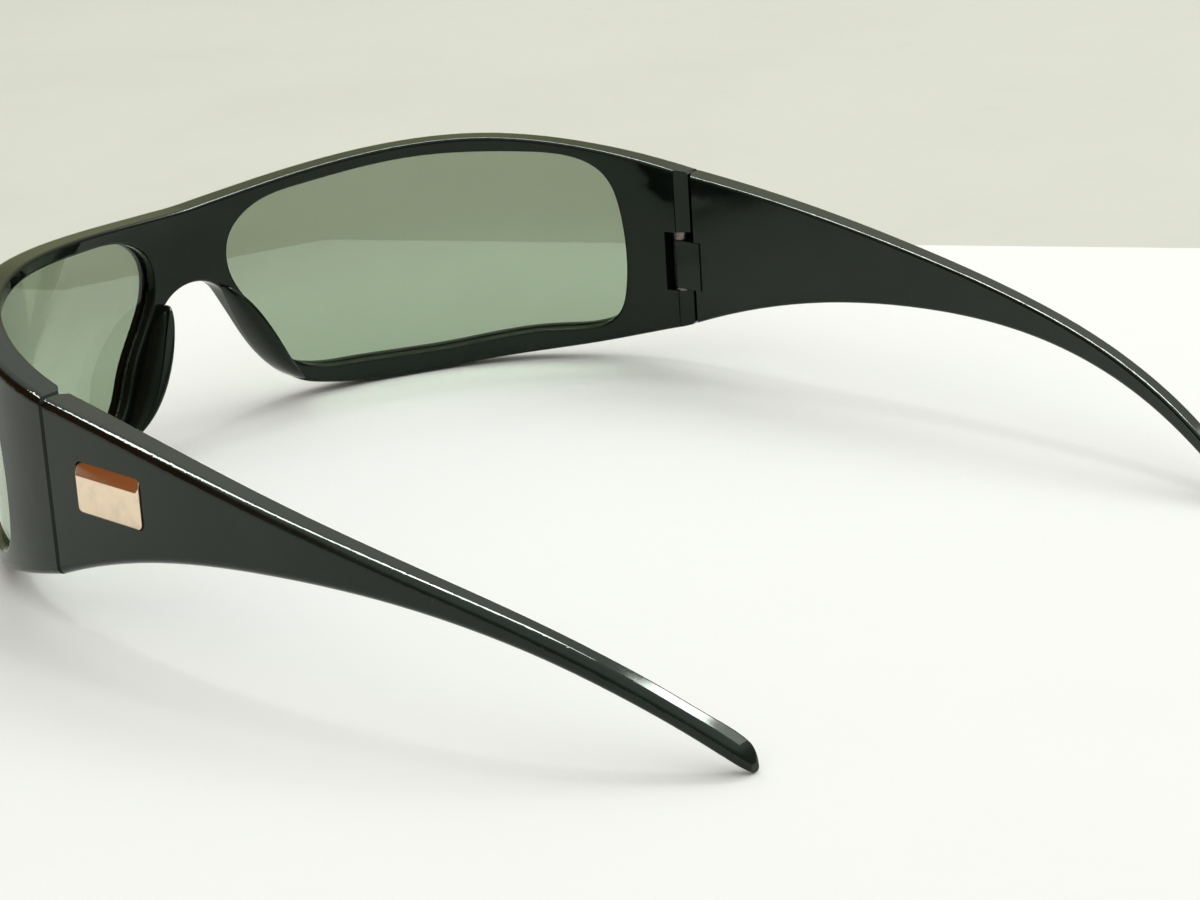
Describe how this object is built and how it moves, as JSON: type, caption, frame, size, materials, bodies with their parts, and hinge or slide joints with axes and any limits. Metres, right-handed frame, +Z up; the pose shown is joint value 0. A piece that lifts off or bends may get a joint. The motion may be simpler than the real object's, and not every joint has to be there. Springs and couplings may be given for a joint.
{
  "type": "sunglasses",
  "caption": "Wraparound sport sunglasses with a glossy full-rim front, tinted lenses, wide curved temples on folding hinges and a bare metal plate on each temple.",
  "frame": {"origin": "on the ground, midway between the outermost, foremost and rearmost points of the open glasses", "axes": "+X to the wearer's left, -Y the way the glasses look, +Y toward the temple tips, +Z up"},
  "size_m": [0.1392, 0.1575, 0.0379],
  "materials": {
    "frame_plastic": "high gloss",
    "temple_plastic": "high gloss",
    "pad_plastic": "high gloss",
    "lens_tint": "polished, grey-green tint",
    "plate_metal": "polished champagne",
    "screw_steel": "turned",
    "washer_steel": "stamped",
    "insert_brass": "turned"
  },
  "bodies": {
    "front": {"front_frame": "frame_plastic", "nose_pad_left": "pad_plastic", "nose_pad_right": "pad_plastic", "lens_left": "lens_tint", "lens_right": "lens_tint", "hinge_screw_left": "screw_steel", "hinge_screw_right": "screw_steel", "hinge_insert_left": "insert_brass", "hinge_insert_right": "insert_brass", "hinge_washer_left": "washer_steel", "hinge_washer_right": "washer_steel", "hinge_spacer_left": "washer_steel", "hinge_spacer_right": "washer_steel"},
    "temple_left": {"temple_left": "temple_plastic", "badge_plate_left": "plate_metal", "hinge_bush_left": "insert_brass"},
    "temple_right": {"temple_right": "temple_plastic", "badge_plate_right": "plate_metal", "hinge_bush_right": "insert_brass"}
  },
  "joints": [
    {"name": "left_temple_fold", "type": "hinge", "parent": "front", "child": "temple_left", "pos_m": [0.0649, -0.0305, 0.01685], "axis": [0, 0, 1], "range_deg": [0, 96]},
    {"name": "right_temple_fold", "type": "hinge", "parent": "front", "child": "temple_right", "pos_m": [-0.0649, -0.0305, 0.01685], "axis": [0, 0, -1], "range_deg": [0, 85]}
  ]
}
